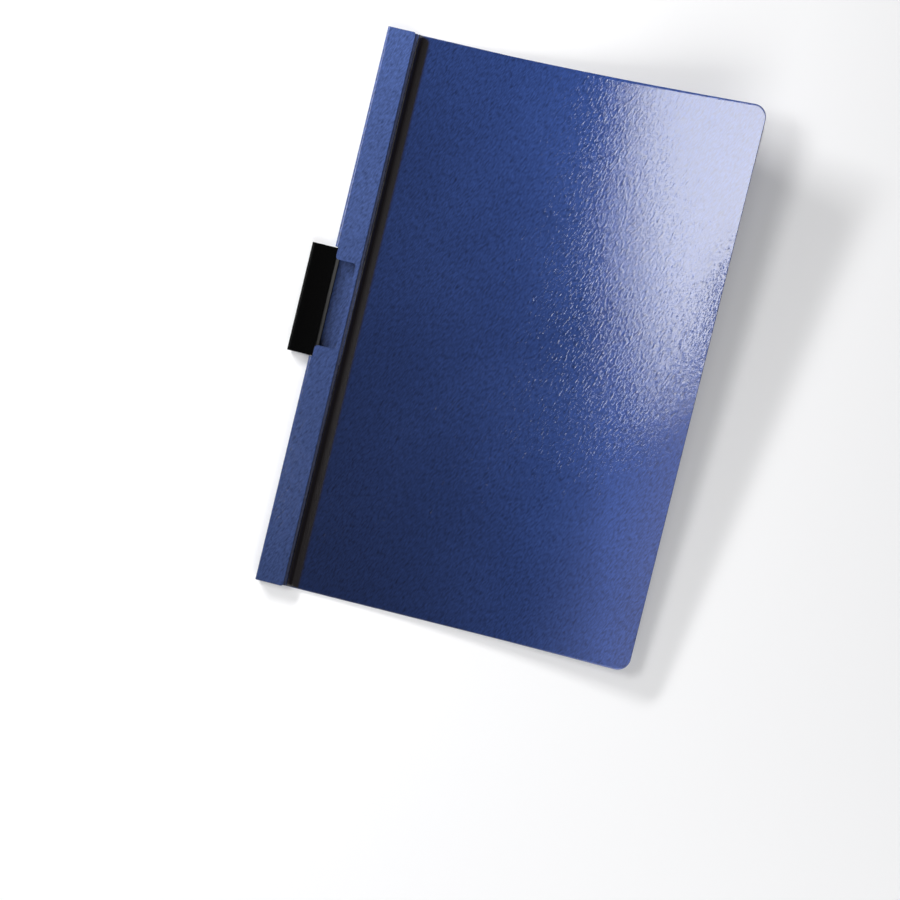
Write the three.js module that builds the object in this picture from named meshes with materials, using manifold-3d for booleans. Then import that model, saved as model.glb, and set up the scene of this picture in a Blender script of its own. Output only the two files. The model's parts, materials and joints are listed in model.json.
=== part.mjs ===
// Clip folder for A4 sheets, lying closed on its back with the spring clip pulled out.
// Millimetres. X runs from the spine to the fore-edge, Y from foot to head, Z up.
// The origin is the middle of the underside of the back panel.
import * as THREE from 'three';
import { mergeVertices } from 'three/addons/utils/BufferGeometryUtils.js';
import Module from 'manifold-3d';

// Back cover, one sheet folded twice: back panel, spine wall and front strip
const folderHeight = 318;
const folderWidth = 215;
const spineDepth = 6.8;
const backSheet = 0.8;
const foldRadius = 1.4;
const stripWidth = 16.1;
const stripCornerRadius = 1.2;
const foreCornerRadius = 7.5;

// Slot through the spine wall, and window in the front strip that shows the clip
const slotEndClearance = 0.4;
const slotCutBack = 2;
const slotCornerRadius = 0.7;
const windowBand = 2.3;
const windowCornerRadius = 1.6;
const windowMouthRadius = 1.8;

// Spring clip, a strip of steel bent to a U with lips that flare, a little above the folder's middle
const clipStation = 1.6;
const clipLength = 62;
const clipDepth = 17;
const clipSheet = 0.8;
const clipBendRadius = 1.3;
const clipClearance = 0.35;
const clipGrip = 3.9;
const clipNip = 0.5;
const clipEar = 6.4;
const clipCornerRadius = 1.2;
const lipLength = 2.2;
const lipFlare = 0.45;
const lugReach = 3.5;
const lugClearance = 0.3;

// Front cover, a thin sheet welded under the strip along its margin and creased to swing open
const coverSheet = 0.5;
const coverInset = 0.5;
const marginWidth = 3.4;
const weldGap = 0.2;
const hingeOffset = 1.9;
const hingeGap = 0.3;
const riserAngle = THREE.MathUtils.degToRad(60);
const coverRestGap = 0.4;
const creaseRadius = 1.6;
const liftAtHead = 36;
const liftAtFoot = 10;

// Steps of the curves and of the bowed sheet
const arcSteps = 5;
const creaseSteps = 4;
const panelColumns = 22;
const cornerColumns = 7;
const coverRows = 26;

// Faces and lines that the pieces share
const spineFace = -folderWidth / 2;
const foreEdge = folderWidth / 2;
const stripEdge = spineFace + stripWidth;
const stripUnderside = spineDepth - backSheet;
const hingeX = stripEdge + hingeOffset;
const hingeZ = stripUnderside - weldGap - coverSheet / 2;
const clipTip = spineFace + clipGrip;
const clipOuterFace = clipTip - clipDepth;
const slotLength = clipLength + 2 * slotEndClearance;
const windowLength = clipLength - 2 * clipEar;
const cutThrough = 2 * spineDepth;

const wasm = await Module();
wasm.setup();

const coverPlastic = {
  back: new THREE.MeshStandardMaterial({ color: 0x4a5f98, roughness: 0.42, metalness: 0 }),
  front: new THREE.MeshStandardMaterial({ color: 0x2c3c70, roughness: 0.36, metalness: 0 }),
  margin: new THREE.MeshStandardMaterial({ color: 0x2a3866, roughness: 0.4, metalness: 0 }),
};
const blackSteel = new THREE.MeshStandardMaterial({ color: 0x0d0e10, roughness: 0.38, metalness: 0.6 });

// A closed geometry as a solid that can be joined and cut
function toSolid(geometry) {
  const bare = geometry.clone();
  bare.deleteAttribute('normal');
  bare.deleteAttribute('uv');
  const merged = mergeVertices(bare, 1e-4);
  return new wasm.Manifold(new wasm.Mesh({
    numProp: 3,
    vertProperties: new Float32Array(merged.attributes.position.array),
    triVerts: new Uint32Array(merged.index.array),
  }));
}

// The solid's vertices and triangles back as a geometry
function toGeometry(solid) {
  const mesh = solid.getMesh();
  const geometry = new THREE.BufferGeometry();
  geometry.setAttribute('position', new THREE.BufferAttribute(mesh.vertProperties, 3));
  geometry.setIndex(new THREE.BufferAttribute(mesh.triVerts, 1));
  geometry.computeVertexNormals();
  return geometry;
}

// A section drawn in X and Z, carried along Y and centred on the middle of the spine
function alongSpine(section, length) {
  const geometry = new THREE.ExtrudeGeometry(section, { depth: length, bevelEnabled: false });
  geometry.rotateX(Math.PI / 2);
  geometry.translate(0, length / 2, 0);
  return geometry;
}

// An outline drawn in plan, carried up from one height to another
function upward(outline, low, high) {
  const geometry = new THREE.ExtrudeGeometry(outline, {
    depth: high - low,
    bevelEnabled: false,
    curveSegments: 2 * arcSteps,
  });
  geometry.translate(0, 0, low);
  return geometry;
}

// The section of a bent sheet: its middle line moved half a thickness to each side
function sheetSection(middleLine, thickness) {
  const points = middleLine.getPoints(arcSteps);
  const side = (sign) => points.map((point, i) => {
    const before = points[Math.max(i - 1, 0)];
    const after = points[Math.min(i + 1, points.length - 1)];
    const into = point.clone().sub(before);
    const out = after.clone().sub(point);
    const first = into.lengthSq() > 0 ? into.normalize() : out.clone().normalize();
    const second = out.lengthSq() > 0 ? out.normalize() : first.clone();
    const miter = new THREE.Vector2(-first.y - second.y, first.x + second.x).normalize();
    const reach = (sign * thickness) / 2 / (miter.x * -first.y + miter.y * first.x);
    return point.clone().addScaledVector(miter, reach);
  });
  return new THREE.Shape([...side(1), ...side(-1).reverse()]);
}

// A rectangle in plan with its two corners on the fore-edge side rounded
function roundedTowardForeEdge(left, right, halfHeight, radius) {
  const outline = new THREE.Shape();
  outline.moveTo(left, -halfHeight);
  outline.lineTo(right - radius, -halfHeight);
  outline.absarc(right - radius, -halfHeight + radius, radius, -Math.PI / 2, 0, false);
  outline.lineTo(right, halfHeight - radius);
  outline.absarc(right - radius, halfHeight - radius, radius, 0, Math.PI / 2, false);
  outline.lineTo(left, halfHeight);
  return outline;
}

// Back panel, spine wall and strip as the middle line of one folded sheet
function foldedSheetLine() {
  const half = backSheet / 2;
  const bend = foldRadius - half;
  const line = new THREE.Path();
  line.moveTo(foreEdge, half);
  line.lineTo(spineFace + foldRadius, half);
  line.absarc(spineFace + foldRadius, foldRadius, bend, -Math.PI / 2, -Math.PI, true);
  line.lineTo(spineFace + half, spineDepth - foldRadius);
  line.absarc(spineFace + foldRadius, spineDepth - foldRadius, bend, Math.PI, Math.PI / 2, true);
  line.lineTo(stripEdge, spineDepth - half);
  return line;
}

// The window in plan: round inner corners, and ears whose corners curve out into the slot
function windowOutline() {
  const mouth = spineFace + slotCutBack;
  const inner = stripEdge - windowBand;
  const half = windowLength / 2;
  const round = windowCornerRadius;
  const flare = windowMouthRadius;
  const outline = new THREE.Shape();
  outline.moveTo(spineFace - slotCutBack, -half - flare);
  outline.lineTo(mouth, -half - flare);
  outline.absarc(mouth + flare, -half - flare, flare, Math.PI, Math.PI / 2, true);
  outline.lineTo(inner - round, -half);
  outline.absarc(inner - round, -half + round, round, -Math.PI / 2, 0, false);
  outline.lineTo(inner, half - round);
  outline.absarc(inner - round, half - round, round, 0, Math.PI / 2, false);
  outline.lineTo(mouth + flare, half);
  outline.absarc(mouth + flare, half + flare, flare, -Math.PI / 2, -Math.PI, true);
  outline.lineTo(spineFace - slotCutBack, half + flare);
  return outline;
}

// Back cover: the folded sheet, rounded at its free corners, with the slot and the window cut
function backCoverGeometry() {
  const halfHeight = folderHeight / 2;
  const sheet = toSolid(alongSpine(sheetSection(foldedSheetLine(), backSheet), folderHeight));
  const panelPlan = roundedTowardForeEdge(spineFace, foreEdge, halfHeight, foreCornerRadius);
  const stripPlan = roundedTowardForeEdge(spineFace, stripEdge, halfHeight, stripCornerRadius);
  const panelZone = toSolid(upward(panelPlan, -backSheet, spineDepth / 2));
  const stripZone = toSolid(upward(stripPlan, spineDepth / 2, spineDepth + backSheet));
  const slotPlan = roundedTowardForeEdge(
    spineFace - slotCutBack,
    spineFace + slotCutBack,
    slotLength / 2,
    slotCornerRadius,
  );
  const slot = upward(slotPlan, -cutThrough, cutThrough).translate(0, clipStation, 0);
  const window = upward(windowOutline(), spineDepth / 2, cutThrough).translate(0, clipStation, 0);
  return toGeometry(sheet.intersect(panelZone.add(stripZone)).subtract(toSolid(slot)).subtract(toSolid(window)));
}

// The clip's middle line: front lip, front leg, outer bend, back leg and back lip
function clipLine() {
  const half = clipSheet / 2;
  const low = backSheet + clipClearance + half;
  const high = stripUnderside - clipClearance - half;
  const web = clipOuterFace + half;
  const bend = clipBendRadius - half;
  const taper = (high - low - clipSheet - clipNip) / 2;
  const line = new THREE.Path();
  line.moveTo(clipTip, high - taper + lipFlare);
  line.lineTo(clipTip - lipLength, high - taper);
  line.lineTo(web + bend, high);
  line.absarc(web + bend, high - bend, bend, Math.PI / 2, Math.PI, false);
  line.lineTo(web, low + bend);
  line.absarc(web + bend, low + bend, bend, Math.PI, 1.5 * Math.PI, false);
  line.lineTo(clipTip - lipLength, low + taper);
  line.lineTo(clipTip, low + taper - lipFlare);
  return line;
}

// Spring clip: the U with rounded tips, and lugs on its back leg that catch behind the slot's ends
function springClipGeometry() {
  const section = sheetSection(clipLine(), clipSheet);
  const legPlan = roundedTowardForeEdge(
    clipOuterFace - clipSheet,
    clipTip + clipSheet,
    clipLength / 2,
    clipCornerRadius + clipSheet,
  );
  const legs = toSolid(alongSpine(section, clipLength))
    .intersect(toSolid(upward(legPlan, -cutThrough, cutThrough)));
  const lugStart = spineFace + backSheet + lugClearance;
  const lugPlan = roundedTowardForeEdge(
    lugStart,
    clipTip + clipSheet,
    clipLength / 2 + lugReach,
    clipCornerRadius,
  );
  const lugs = toSolid(alongSpine(section, clipLength + 2 * lugReach))
    .intersect(toSolid(upward(lugPlan, -cutThrough, spineDepth / 2)));
  return toGeometry(legs.add(lugs));
}

// Welded margin of the front cover, a flat strip that stays under the front strip
function marginGeometry() {
  const right = hingeX - coverSheet / 2 - hingeGap;
  const left = right - marginWidth;
  const low = hingeZ - coverSheet / 2;
  const section = new THREE.Shape([
    new THREE.Vector2(left, low),
    new THREE.Vector2(right, low),
    new THREE.Vector2(right, low + coverSheet),
    new THREE.Vector2(left, low + coverSheet),
  ]);
  return alongSpine(section, folderHeight - 2 * coverInset);
}

// Stations across the front cover: the crease line, the riser down to the panel, and the panel
// to the fore-edge, closer together round the crease and in the rounded corners
function coverStations() {
  const panelZ = backSheet + coverRestGap + coverSheet / 2;
  const drop = hingeZ - panelZ;
  const footX = hingeX + drop / Math.tan(riserAngle);
  const cut = creaseRadius * Math.tan(riserAngle / 2);
  const down = new THREE.Vector2(Math.cos(riserAngle), -Math.sin(riserAngle));
  const foot = new THREE.Vector2(footX, panelZ);
  const bend = new THREE.QuadraticBezierCurve(
    foot.clone().addScaledVector(down, -cut),
    foot,
    new THREE.Vector2(footX + cut, panelZ),
  );
  const right = foreEdge - coverInset;
  const cornerStart = right - foreCornerRadius;
  const panelStart = footX + cut;
  const stations = [new THREE.Vector2(hingeX, hingeZ), ...bend.getPoints(creaseSteps)];
  for (let i = 1; i <= panelColumns; i += 1) {
    stations.push(new THREE.Vector2(THREE.MathUtils.lerp(panelStart, cornerStart, i / panelColumns), panelZ));
  }
  for (let i = 1; i <= cornerColumns; i += 1) {
    const angle = (i / cornerColumns) * (Math.PI / 2);
    stations.push(new THREE.Vector2(cornerStart + foreCornerRadius * Math.sin(angle), panelZ));
  }
  return { stations, footX, right, cornerStart };
}

// Front cover: a grid box whose columns follow the stations, bowed up toward the head corner
function frontCoverGeometry() {
  const { stations, footX, right, cornerStart } = coverStations();
  const columns = stations.length - 1;
  const fullHalf = folderHeight / 2 - coverInset;
  const geometry = new THREE.BoxGeometry(columns, coverRows, 1, columns, coverRows, 1);
  const position = geometry.attributes.position;
  for (let i = 0; i < position.count; i += 1) {
    const column = Math.round(position.getX(i) + columns / 2);
    const share = position.getY(i) / coverRows;
    const across = stations[column];
    const intoCorner = Math.max(across.x - cornerStart, 0);
    const cornerDrop = foreCornerRadius - Math.sqrt(Math.max(foreCornerRadius ** 2 - intoCorner ** 2, 0));
    const y = 2 * share * (fullHalf - cornerDrop);
    const lift = THREE.MathUtils.lerp(liftAtFoot, liftAtHead, y / folderHeight + 0.5);
    const bow = (x) => lift * (Math.max(x - footX, 0) / (right - footX)) ** 2;
    const before = stations[Math.max(column - 1, 0)];
    const after = stations[Math.min(column + 1, columns)];
    const along = new THREE.Vector2(after.x - before.x, after.y + bow(after.x) - before.y - bow(before.x));
    along.normalize();
    const offset = position.getZ(i) * coverSheet;
    position.setXYZ(
      i,
      across.x - along.y * offset,
      y,
      across.y + bow(across.x) + along.x * offset,
    );
  }
  geometry.computeVertexNormals();
  return geometry;
}

// A named piece of the folder
function piece(name, geometry, material) {
  const mesh = new THREE.Mesh(geometry, material);
  mesh.name = name;
  return mesh;
}

const clipFolder = new THREE.Group();
clipFolder.add(piece('back_cover', backCoverGeometry(), coverPlastic.back));
clipFolder.add(piece('front_cover_margin', marginGeometry(), coverPlastic.margin));
clipFolder.add(piece('front_cover', frontCoverGeometry(), coverPlastic.front));
const springClip = piece('spring_clip', springClipGeometry(), blackSteel);
springClip.position.y = clipStation;
clipFolder.add(springClip);

export default clipFolder;
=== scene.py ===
import json
import math

import bmesh
import bpy
import numpy as np
from mathutils import Euler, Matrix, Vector


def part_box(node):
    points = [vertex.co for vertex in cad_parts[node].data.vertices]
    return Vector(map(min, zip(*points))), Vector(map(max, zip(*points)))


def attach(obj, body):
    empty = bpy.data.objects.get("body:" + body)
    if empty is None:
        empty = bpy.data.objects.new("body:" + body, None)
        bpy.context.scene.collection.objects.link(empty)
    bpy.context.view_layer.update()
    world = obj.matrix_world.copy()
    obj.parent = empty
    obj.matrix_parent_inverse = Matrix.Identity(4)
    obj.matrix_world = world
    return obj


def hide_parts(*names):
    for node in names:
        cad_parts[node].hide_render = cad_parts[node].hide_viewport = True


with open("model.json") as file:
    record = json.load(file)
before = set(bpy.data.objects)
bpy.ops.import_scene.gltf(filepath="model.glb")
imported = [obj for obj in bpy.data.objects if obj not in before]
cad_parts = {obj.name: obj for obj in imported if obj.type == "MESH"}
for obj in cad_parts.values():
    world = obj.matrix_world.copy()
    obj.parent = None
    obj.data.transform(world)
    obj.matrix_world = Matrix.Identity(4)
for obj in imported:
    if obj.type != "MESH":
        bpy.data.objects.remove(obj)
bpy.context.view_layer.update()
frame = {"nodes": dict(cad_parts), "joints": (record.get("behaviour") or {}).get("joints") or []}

# Camera: looks almost straight down on the closed folder from 1.2 m, turned a little so that the
# head of the spine leans to the right in the picture.
MM = 0.001
camera_distance = 1200 * MM
camera_lens_mm = 85.84
camera_sensor_mm = 36.0
camera_turn = Euler((-0.014, 0.074, 0.239))
camera_aside = Vector((-32.6, -56.4)) * MM

camera_data = bpy.data.cameras.new("camera")
camera_data.sensor_width = camera_sensor_mm
camera_data.lens = camera_lens_mm
camera = bpy.data.objects.new("camera", camera_data)
bpy.context.scene.collection.objects.link(camera)
camera.rotation_mode = "XYZ"
camera.rotation_euler = camera_turn
camera.location = camera_turn.to_matrix() @ Vector((*camera_aside, camera_distance))
bpy.context.scene.camera = camera


# Back cover: one sheet of blue vinyl, folded at the spine into back panel, spine wall and front
# strip. It is embossed with a leather grain and die-cut, so its cut edges are slightly rounded.
class Level:
    """A shader socket as a number: arithmetic on it adds the Math nodes that compute it."""

    def __init__(self, finish, socket):
        self.finish = finish
        self.socket = socket

    def combine(self, operation, *values):
        return self.finish.node("ShaderNodeMath", {"operation": operation}, *values)

    def __add__(self, other):
        return self.combine("ADD", self, other)

    def __sub__(self, other):
        return self.combine("SUBTRACT", self, other)

    def __rsub__(self, other):
        return self.combine("SUBTRACT", other, self)

    def __mul__(self, other):
        return self.combine("MULTIPLY", self, other)

    def combine_max(self, other):
        return self.combine("MAXIMUM", self, other)

    def combine_min(self, other):
        return self.combine("MINIMUM", self, other)

    def root(self):
        return self.combine("SQRT", self)

    __radd__ = __add__
    __rmul__ = __mul__


class Finish:
    """A material with a Principled shader. node() adds any node and returns its output as a Level."""

    def __init__(self, name, **constants):
        self.material = bpy.data.materials.new(name)
        self.material.use_nodes = True
        self.tree = self.material.node_tree
        self.shader = self.tree.nodes["Principled BSDF"]
        for socket, value in constants.items():
            self.shader.inputs[socket.replace("_", " ")].default_value = value

    def node(self, kind, settings=None, *values, output=0, **named):
        made = self.tree.nodes.new(kind)
        for key, value in (settings or {}).items():
            if key == "stops":
                self.fill_ramp(made.color_ramp, value)
            else:
                setattr(made, key, value)
        for key, value in [*enumerate(values), *named.items()]:
            socket = made.inputs[key.replace("_", " ") if isinstance(key, str) else key]
            self.feed(socket, value)
        return Level(self, made.outputs[output])

    def fill_ramp(self, ramp, stops):
        ramp.interpolation = "EASE"
        while len(ramp.elements) < len(stops):
            ramp.elements.new(1.0)
        for element, (place, colour) in zip(ramp.elements, stops):
            element.position = place
            element.color = colour

    def feed(self, socket, value):
        if isinstance(value, Level):
            self.tree.links.new(value.socket, socket)
        else:
            socket.default_value = value

    def mix_colour(self, factor, first, second):
        made = self.tree.nodes.new("ShaderNodeMix")
        made.data_type = "RGBA"
        colours = [socket for socket in made.inputs if socket.type == "RGBA"]
        self.feed(made.inputs[0], factor)
        self.feed(colours[0], first)
        self.feed(colours[1], second)
        return Level(self, next(socket for socket in made.outputs if socket.type == "RGBA"))

    def set(self, **links):
        for name, value in links.items():
            self.feed(self.shader.inputs[name.replace("_", " ")], value)


def leather_relief(finish, place):
    """Height of the embossed grain, in the sheet's plane: small pebbles are cells warped by noise,
    wrinkles are a coarser noise, and both are drawn out along one diagonal of the sheet."""
    flat = finish.node("ShaderNodeMapping", {"vector_type": "TEXTURE"}, Vector=place,
                       Rotation=(0, 0, grain_turn), Scale=grain_stretch)
    drift = finish.node("ShaderNodeTexNoise", {"noise_dimensions": "2D"}, Vector=flat,
                        Scale=grain_warp_scale, Detail=grain_detail, output="Color")
    shift = finish.node("ShaderNodeVectorMath", {"operation": "SCALE"}, drift, Scale=grain_warp)
    warped = finish.node("ShaderNodeVectorMath", {"operation": "ADD"}, flat, shift)
    pebble = finish.node("ShaderNodeTexVoronoi", {"voronoi_dimensions": "2D", "feature": "SMOOTH_F1"},
                         Vector=warped, Scale=pebble_scale, Smoothness=pebble_smoothness,
                         output="Distance")
    wrinkle = finish.node("ShaderNodeTexNoise", {"noise_dimensions": "2D"}, Vector=warped,
                          Scale=wrinkle_scale, Detail=grain_detail, Roughness=wrinkle_roughness)
    return wrinkle * wrinkle_weight - pebble * pebble_weight


grain_turn = math.radians(66)
grain_stretch = (3.2, 1.0, 1.0)
grain_warp_scale = 700.0
grain_warp = 0.0010
grain_detail = 1.0
pebble_scale = 1350.0
pebble_smoothness = 0.35
pebble_weight = 1.0
wrinkle_scale = 900.0
wrinkle_roughness = 0.4
wrinkle_weight = 1.1
grain_depth = 0.0175 * MM
# Painted shade in the grain: the colour is painted darker in the valleys and lighter on the tops.
relief_mean = 0.15
relief_painted_shade = 0.6
vinyl_ior = 1.5
patch_scale = 14.0
patch_detail = 3.0
patch_dark_stop = 0.35
patch_light_stop = 0.65
patch_glossy = 0.3
patch_dull = 0.7
dull_factor = 1.5
painted_light_most = 0.85
# Painted reflection: a pale grey haze painted on toward the fore-edge, growing as the square of x.
painted_haze_grey = (1.0, 0.85, 0.70)
painted_haze_start = 0.03
painted_haze_slope = 7.8


def grained_vinyl(name, dark, light, gloss, painted_light_slope, painted_shadow_mask=None):
    """Blue vinyl with an embossed leather grain. Its pigment is a little lighter and its skin a
    little duller in patches, and its colour is painted darker in the grain's valleys and lighter on
    its tops, as painted shade. Painted light makes the colour double as many times per metre of x as
    the slope's first number, per metre of y as its second, and per square metre of x squared right
    of the origin as its third, at most the given most in all. Where the third slope number isn't 0,
    a pale painted reflection haze also grows as the square of x past its start. The hinge mask, if
    given, returns how far a painted shadow darkens the skin along the hinge and flattens its grain,
    0 to 1."""
    finish = Finish(name, IOR=vinyl_ior)
    place = finish.node("ShaderNodeTexCoord", output="Object")
    relief = leather_relief(finish, place)
    patch = finish.node("ShaderNodeTexNoise", {}, Vector=place, Scale=patch_scale, Detail=patch_detail)
    stops = [(patch_dark_stop, dark), (patch_light_stop, light)]
    tone = finish.node("ShaderNodeValToRGB", {"stops": stops}, patch)
    x, y = (finish.node("ShaderNodeSeparateXYZ", {}, place, output=axis) for axis in "XY")
    # Painted light and shade: the colour is doubled or halved by position on the sheet, up to a set
    # most.
    right = x.combine_max(0.0)
    painted_light_doublings = x * painted_light_slope[0] + y * painted_light_slope[1] + right * right * painted_light_slope[2]
    painted_light_doublings = painted_light_doublings.combine_min(painted_light_most)
    strength = finish.node("ShaderNodeMath", {"operation": "POWER"}, 2.0, painted_light_doublings)
    # Painted shade: darker in the grain's valleys, lighter on its tops.
    strength = strength * (1 + (relief - relief_mean) * relief_painted_shade)
    tone = finish.node("ShaderNodeVectorMath", {"operation": "SCALE"}, tone, Scale=strength)
    # Painted reflection haze near the fore-edge.
    if painted_light_slope[2]:
        past = (x - painted_haze_start).combine_max(0.0)
        painted_haze = finish.node("ShaderNodeVectorMath", {"operation": "SCALE"}, painted_haze_grey,
                            Scale=past * past * painted_haze_slope)
        tone = finish.node("ShaderNodeVectorMath", {"operation": "ADD"}, tone, painted_haze)
    roughness = finish.node("ShaderNodeMapRange", {}, patch, patch_glossy, patch_dull,
                            gloss, dull_factor * gloss)
    # Painted shadow along the hinge: the skin there is painted near black and its grain flattened.
    if painted_shadow_mask:
        painted_shadow_amount = painted_shadow_mask(finish, place)
        relief = relief * (1 - painted_shadow_amount)
        roughness = roughness + painted_shadow_amount * (shadow_band_roughness - roughness)
        tone = finish.mix_colour(painted_shadow_amount, tone, hinge_painted_shadow_black)
    finish.set(
        Base_Color=tone,
        Roughness=roughness,
        Normal=finish.node("ShaderNodeBump", {}, Strength=1.0, Distance=grain_depth, Height=relief),
    )
    return finish


merge_distance = 0.001 * MM
flat_angle = math.radians(0.5)
edge_steps = 2
large_face_weight = 100


def bevelled_copy(node, name, edge_radius, smooth_angle):
    """A copy of a CAD node with its triangles merged into flat faces, its sharp edges rounded by
    edge_radius, and smooth shading across bends that turn less than smooth_angle."""
    source = frame["nodes"][node]
    mesh = bmesh.new()
    mesh.from_mesh(source.data)
    bmesh.ops.remove_doubles(mesh, verts=mesh.verts, dist=merge_distance)
    bmesh.ops.dissolve_limit(mesh, angle_limit=flat_angle, verts=mesh.verts, edges=mesh.edges)
    sharp = [e for e in mesh.edges if e.is_manifold and e.calc_face_angle() > smooth_angle]
    bmesh.ops.bevel(mesh, geom=sharp, offset=edge_radius, segments=edge_steps, profile=0.5,
                    affect="EDGES", clamp_overlap=True)
    for face in mesh.faces:
        face.smooth = True
    data = bpy.data.meshes.new(name)
    mesh.to_mesh(data)
    mesh.free()
    data.set_sharp_from_angle(angle=smooth_angle)
    piece = bpy.data.objects.new(name, data)
    bpy.context.scene.collection.objects.link(piece)
    flat = piece.modifiers.new("flat_faces", "WEIGHTED_NORMAL")
    flat.weight = large_face_weight
    flat.keep_sharp = True
    return piece


back_edge_radius = 0.16 * MM
sheet_smooth_angle = math.radians(32)

# Painted light: the back cover's blue is painted lighter than the front cover's, standing in for the
# light the tilted strip catches.
strip_painted_lit_blue = (0.038, 0.064, 0.180, 1.0)
strip_painted_lit_blue_pale = (0.042, 0.070, 0.195, 1.0)
strip_gloss = 0.09
# Painted light and shade along the spine: the back cover and margin are painted lighter toward the head
# and darker toward the foot.
strip_painted_light_slope = (0.0, 3.0, 0.0)
back_vinyl = grained_vinyl("back_cover_vinyl", strip_painted_lit_blue, strip_painted_lit_blue_pale, strip_gloss,
                           strip_painted_light_slope)
back_cover = bevelled_copy("back_cover", "back_cover_sheet", back_edge_radius, sheet_smooth_angle)
back_cover.data.materials.append(back_vinyl.material)
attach(back_cover, "folder")
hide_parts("back_cover")


# Margin of the front cover: the flat border of the thinner cover sheet, welded to the underside of
# the strip. A narrow lip of it shows beyond the strip, before the hinge crease.
margin_edge_radius = 0.1 * MM

# Painted shade: the margin's blue is painted darker than the rest of the vinyl, standing in for the
# strip's shadow over it.
margin_painted_shade_blue = (0.010, 0.017, 0.062, 1.0)
margin_painted_shade_blue_pale = (0.013, 0.021, 0.070, 1.0)
margin_gloss = 0.3
margin_vinyl = grained_vinyl("margin_vinyl", margin_painted_shade_blue, margin_painted_shade_blue_pale, margin_gloss,
                             strip_painted_light_slope)
margin = bevelled_copy("front_cover_margin", "front_cover_welded_margin", margin_edge_radius,
                       sheet_smooth_angle)
margin.data.materials.append(margin_vinyl.material)
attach(margin, "folder")
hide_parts("front_cover_margin")


# Front cover: a thinner sheet of the same vinyl, creased at its hinge and again where it meets the
# paper, and bowed up toward the head corner because nothing holds it down.
cover_low, cover_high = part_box("front_cover")
back_low, back_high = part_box("back_cover")
hinge = next(j for j in frame["joints"] if j["name"] == "cover_hinge")["pos_m"]
cover_sheet = 0.5 * MM
cover_corner = 7.5 * MM
cover_riser_angle = math.radians(60)
cover_crease_radius = 1.6 * MM
cover_lift_foot = 10 * MM
cover_lift_head = 36 * MM
cover_columns = 150
cover_rows = 190
cover_rim_steps = 4
cover_panel_z = cover_low.z + cover_sheet / 2


def cover_middle(columns, rows):
    """Middle surface of the cover as a rows by columns grid. Across, it falls from the hinge along
    the riser, turns by a quadratic curve at the crease and runs level to the fore-edge. Its height
    then gains lift times the square of the share of the way to the fore-edge, and lift grows evenly
    from foot to head. Columns end on quarter circles, which round the two fore-edge corners."""
    drop = hinge[2] - cover_panel_z
    foot_x = hinge[0] + drop / math.tan(cover_riser_angle)
    cut = cover_crease_radius * math.tan(cover_riser_angle / 2)
    right = cover_high.x
    down = np.array([math.cos(cover_riser_angle), -math.sin(cover_riser_angle)])
    start = np.array([hinge[0], hinge[2]])
    foot = np.array([foot_x, cover_panel_z])
    riser_steps = 5
    crease_steps = 9
    corner_steps = 14
    t = np.linspace(0, 1, riser_steps, endpoint=False)[:, None]
    riser = start + t * (foot - cut * down - start)
    t = np.linspace(0, 1, crease_steps, endpoint=False)[:, None]
    bend_start = foot - cut * down
    bend_end = foot + np.array([cut, 0])
    bend = (1 - t) ** 2 * bend_start + 2 * t * (1 - t) * foot + t ** 2 * bend_end
    level_x = np.linspace(bend_end[0], right - cover_corner, columns, endpoint=False)
    arc = np.linspace(0, math.pi / 2, corner_steps)
    corner_x = right - cover_corner + cover_corner * np.sin(arc)
    x = np.concatenate([riser[:, 0], bend[:, 0], level_x, corner_x])
    z = np.concatenate([riser[:, 1], bend[:, 1], np.full(columns + corner_steps, cover_panel_z)])
    into = np.clip(x - (right - cover_corner), 0, cover_corner)
    half = (cover_high.y - cover_low.y) / 2 - cover_corner + np.sqrt(cover_corner ** 2 - into ** 2)
    share = np.linspace(-1, 1, rows)[:, None]
    y = share * half
    lift = cover_lift_foot + (cover_lift_head - cover_lift_foot) * (y / (back_high.y - back_low.y) + 0.5)
    reach = np.clip((x - foot_x) / (right - foot_x), 0, 1)
    height = z + lift * reach ** 2
    return np.stack([np.broadcast_to(x, y.shape), y, height], axis=2)


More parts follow.
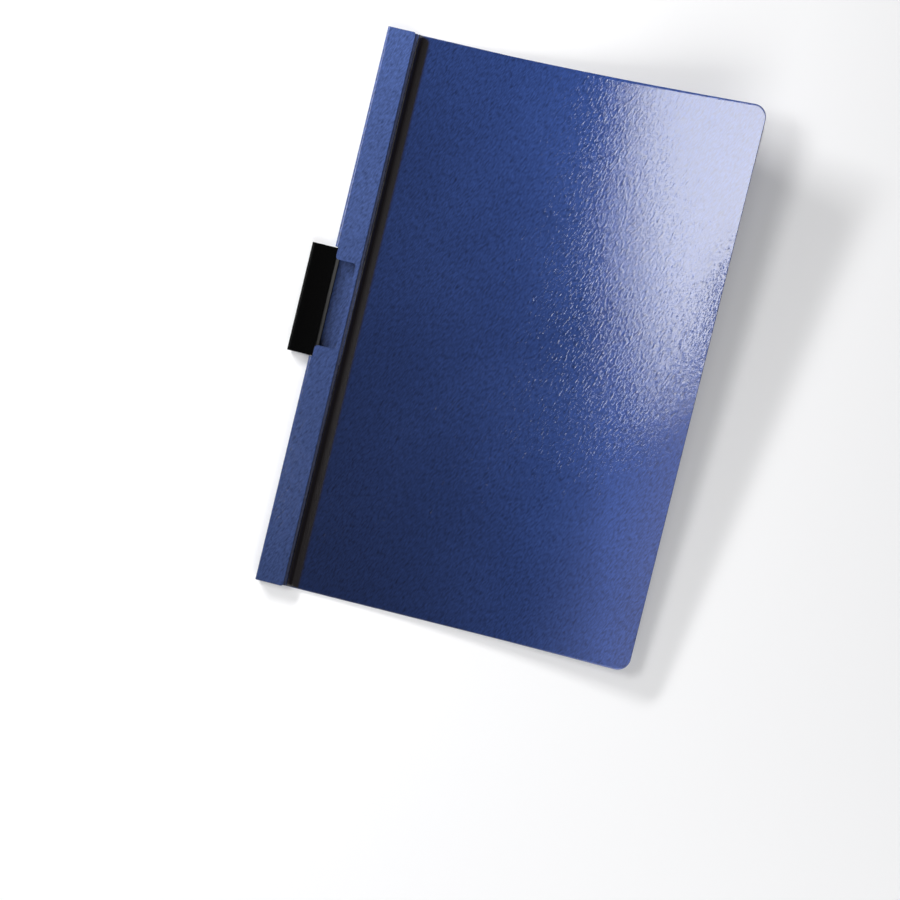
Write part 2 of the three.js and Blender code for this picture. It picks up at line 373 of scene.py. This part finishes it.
def sheet_piece(name, middle, thickness, rim_steps):
    """A closed sheet round a middle surface. Each point moves half the thickness along the surface
    normal, up for the face and down for the back, and the rim between them is a half circle."""
    rows, columns, _ = middle.shape
    along = np.gradient(middle, axis=1)
    across = np.gradient(middle, axis=0)
    normal = np.cross(along, across)
    normal /= np.linalg.norm(normal, axis=2, keepdims=True)
    number = np.arange(rows * columns).reshape(rows, columns)
    edge = np.concatenate([number[0, :-1], number[:-1, -1], number[-1, :0:-1], number[:0:-1, 0]])
    flat_middle = middle.reshape(-1, 3)
    flat_normal = normal.reshape(-1, 3)
    follow = np.roll(flat_middle[edge], -1, axis=0) - np.roll(flat_middle[edge], 1, axis=0)
    outward = np.cross(follow, flat_normal[edge])
    outward /= np.linalg.norm(outward, axis=1, keepdims=True)
    half = thickness / 2
    top = flat_middle + half * flat_normal
    bottom = flat_middle - half * flat_normal
    top[edge] -= half * outward
    bottom[edge] -= half * outward
    angle = np.linspace(math.pi / 2, -math.pi / 2, rim_steps + 2)[1:-1, None, None]
    ring_middle = flat_middle[edge] - half * outward
    rim = ring_middle + half * (np.cos(angle) * outward + np.sin(angle) * flat_normal[edge])
    vertices = np.concatenate([top, bottom, rim.reshape(-1, 3)])
    a, b = number[:-1, :-1].ravel(), number[:-1, 1:].ravel()
    c, d = number[1:, 1:].ravel(), number[1:, :-1].ravel()
    back = len(flat_middle)
    loops = [edge] + [2 * back + i * len(edge) + np.arange(len(edge)) for i in range(rim_steps)]
    loops.append(back + edge)
    rim_faces = [np.stack([np.roll(u, -1), u, v, np.roll(v, -1)], 1) for u, v in zip(loops, loops[1:])]
    faces = np.concatenate([
        np.stack([a, b, c, d], 1),
        np.stack([d, c, b, a], 1) + back,
        *rim_faces,
    ])
    data = bpy.data.meshes.new(name)
    data.from_pydata(vertices.tolist(), [], faces.tolist())
    data.shade_smooth()
    piece = bpy.data.objects.new(name, data)
    bpy.context.scene.collection.objects.link(piece)
    return piece


cover_blue = (0.0154, 0.034, 0.128, 1.0)
cover_blue_light = (0.0180, 0.039, 0.144, 1.0)
cover_gloss = 0.05
# Painted light and shade on the front cover: darker toward the hinge and foot, lighter toward the
# fore-edge and head.
cover_painted_light_slope = (8.8, 4.2, 80.0)
# Painted shadow: near black painted over the hinge groove and the panel just past it, where the strip's
# shadow falls.
hinge_painted_shadow_black = (0.0095, 0.0072, 0.0080, 1.0)
shadow_band_roughness = 0.2
painted_shadow_edge = back_low.x + 23.9 * MM
painted_shadow_head = cover_high.y - 0.8 * MM
painted_shadow_corner = 3.2 * MM
painted_shadow_fade = 2.2 * MM
painted_shadow_fade_from = -0.3 * painted_shadow_fade
painted_shadow_fade_to = 0.7 * painted_shadow_fade


def hinge_painted_shadow_mask(finish, place):
    """Mask of a painted shadow beside the hinge: 1 in the shadow band and 0 on the panel. The band
    covers the hinge groove and a little of the panel past it; it is what lies left of its edge and
    below its head, with a rounded corner between them, and the painted shadow falls off smoothly
    from the fade's start to its end past that outline."""
    x, y = (finish.node("ShaderNodeSeparateXYZ", {}, place, output=axis) for axis in "XY")
    right = (x - (painted_shadow_edge - painted_shadow_corner)).combine_max(0.0)
    up = (y - (painted_shadow_head - painted_shadow_corner)).combine_max(0.0)
    past = (right * right + up * up).root() - painted_shadow_corner
    return finish.node("ShaderNodeMapRange", {"interpolation_type": "SMOOTHSTEP"}, past,
                       painted_shadow_fade_from, painted_shadow_fade_to, 1.0, 0.0)


cover_vinyl = grained_vinyl("front_cover_vinyl", cover_blue, cover_blue_light, cover_gloss,
                            cover_painted_light_slope, hinge_painted_shadow_mask)
front_cover = sheet_piece("front_cover_sheet", cover_middle(cover_columns, cover_rows), cover_sheet,
                          cover_rim_steps)
front_cover.data.materials.append(cover_vinyl.material)
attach(front_cover, "cover")
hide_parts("front_cover")


# Spring clip: a strip of spring steel bent to a U, whose two legs grip the paper at the spine. Its
# cut edges are broken, and its black enamel has a faint peel.
clip_edge_radius = 0.14 * MM
clip_smooth_angle = math.radians(24)
enamel_black = (0.0006, 0.0006, 0.0007, 1.0)
enamel_roughness = 0.22
enamel_ior = 1.45
enamel_specular = 0.10
peel_scale = 900.0
peel_detail = 2.0
peel_strength = 0.5
peel_depth = 0.012 * MM

clip_enamel = Finish("clip_black_enamel", Base_Color=enamel_black, Roughness=enamel_roughness,
                     IOR=enamel_ior, Specular_IOR_Level=enamel_specular)
place = clip_enamel.node("ShaderNodeTexCoord", output="Object")
peel = clip_enamel.node("ShaderNodeTexNoise", {}, Vector=place, Scale=peel_scale, Detail=peel_detail)
clip_bump = clip_enamel.node("ShaderNodeBump", {}, Strength=peel_strength, Distance=peel_depth,
                             Height=peel)
clip_enamel.set(Normal=clip_bump)
clip = bevelled_copy("spring_clip", "spring_clip_steel", clip_edge_radius, clip_smooth_angle)
clip.data.materials.append(clip_enamel.material)
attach(clip, "clip")
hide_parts("spring_clip")


# Studio: a pale floor, a soft panel high on the left whose reflection is the highlight on the bowed
# cover, a long narrow key from the upper left that throws the shadows to the right, and a broad weak
# fill from the foot side.
floor_size = 6.0
floor_drop = 0.02 * MM
floor_white = (0.90, 0.90, 0.91, 1.0)
floor_roughness = 0.9
bpy.ops.mesh.primitive_plane_add(size=floor_size, location=(0, 0, -floor_drop))
floor = bpy.context.object
floor.name = "studio_floor"
floor_finish = Finish("floor_white", Base_Color=floor_white, Roughness=floor_roughness)
floor.data.materials.append(floor_finish.material)


def soft_light(name, place, size, strength, aim):
    """A square or oblong soft light at place that faces aim. It gives pi times strength watts per
    square metre of its face."""
    data = bpy.data.lights.new(name, "AREA")
    data.shape = "RECTANGLE"
    data.size, data.size_y = size
    data.energy = strength * size[0] * size[1] * math.pi
    light = bpy.data.objects.new(name, data)
    light.location = place
    light.rotation_euler = (Vector(aim) - Vector(place)).to_track_quat("-Z", "Y").to_euler()
    bpy.context.scene.collection.objects.link(light)


panel_height = 1000 * MM
panel_radiance = 12.6
panel_outline_mm = [(-303, -178), (-490, 15), (-690, -70), (-880, 250), (-534, 415)]
key_place = (-0.75, 0.52, 0.50)
key_size = (0.50, 0.10)
key_strength = 56.0
key_aim = (0, 0.05, 0)
fill_place = (0.5, -1.1, 0.9)
fill_size = (1.4, 1.4)
fill_strength = 2.7
fill_aim = (0.1, -0.1, 0)
surroundings_strength = 0.14

panel_corners = [(x * MM, y * MM, panel_height) for x, y in panel_outline_mm]
panel_mesh = bpy.data.meshes.new("soft_panel")
panel_mesh.from_pydata(panel_corners, [], [tuple(range(len(panel_corners)))])
soft_panel = bpy.data.objects.new("soft_panel", panel_mesh)
bpy.context.scene.collection.objects.link(soft_panel)
panel_glow = Finish("soft_panel_glow", Base_Color=(0, 0, 0, 1.0), Roughness=1.0, Specular_IOR_Level=0.0,
                    Emission_Color=(1, 1, 1, 1), Emission_Strength=panel_radiance)
soft_panel.data.materials.append(panel_glow.material)
soft_panel.visible_camera = False
soft_light("key_box", key_place, key_size, key_strength, key_aim)
soft_light("fill_box", fill_place, fill_size, fill_strength, fill_aim)
world = bpy.data.worlds.new("studio")
world.use_nodes = True
background = world.node_tree.nodes["Background"]
background.inputs["Color"].default_value = (1, 1, 1, 1)
background.inputs["Strength"].default_value = surroundings_strength
bpy.context.scene.world = world
bpy.context.scene.view_settings.view_transform = "Standard"
